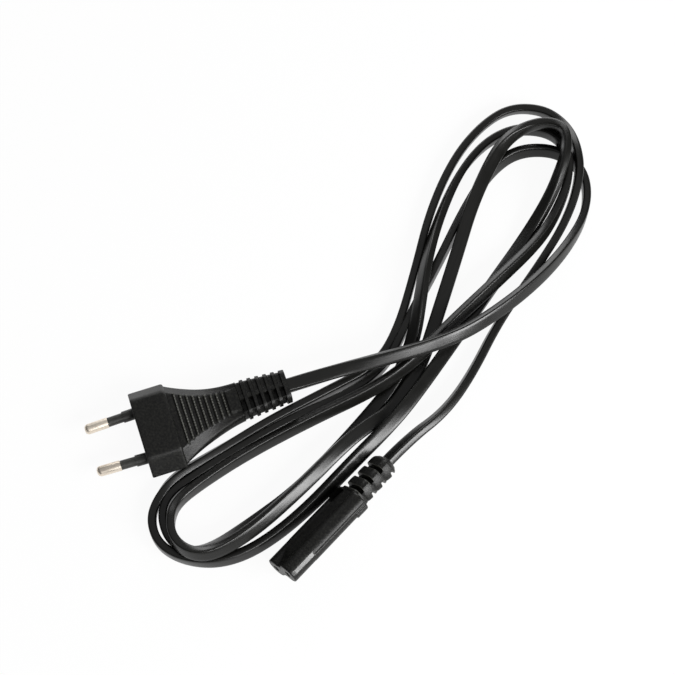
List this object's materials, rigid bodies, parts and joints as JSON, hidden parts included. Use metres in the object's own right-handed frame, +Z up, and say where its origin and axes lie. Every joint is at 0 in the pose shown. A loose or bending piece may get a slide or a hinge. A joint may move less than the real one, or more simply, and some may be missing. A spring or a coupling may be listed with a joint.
{
  "type": "power cord",
  "caption": "Flat black mains cord lying in loose loops, with a moulded flat plug with round pins on one end and a figure-eight appliance connector on the other.",
  "frame": {"origin": "on the table, under the middle of the box around the plug and the connector", "axes": "+Z up from the table, +X to the right and +Y away as the picture shows the cord lying, with the box around plug and connector longest along X"},
  "size_m": [0.1979, 0.2056, 0.0143],
  "materials": {
    "overmould_pvc": "matt, fine grain",
    "cord_pvc": "semi-gloss",
    "pin_bridge_nylon": "satin",
    "insert_nylon": "satin",
    "nickel_brass": "polished, nickel plated",
    "contact_brass": "bright",
    "copper": "bright, stranded",
    "brown_pvc": "satin",
    "blue_pvc": "satin"
  },
  "bodies": {
    "root": {"connector_body": "overmould_pvc", "connector_conductor_line": "copper", "connector_conductor_neutral": "copper", "connector_contact_line": "contact_brass", "connector_contact_neutral": "contact_brass", "connector_core_line": "brown_pvc", "connector_core_neutral": "blue_pvc", "connector_insert": "insert_nylon", "connector_tail": "overmould_pvc", "cord": "cord_pvc", "plug_body": "overmould_pvc", "plug_bridge": "pin_bridge_nylon", "plug_conductor_line": "copper", "plug_conductor_neutral": "copper", "plug_core_line": "brown_pvc", "plug_core_neutral": "blue_pvc", "plug_pin_line": "nickel_brass", "plug_pin_neutral": "nickel_brass"}
  },
  "joints": []
}
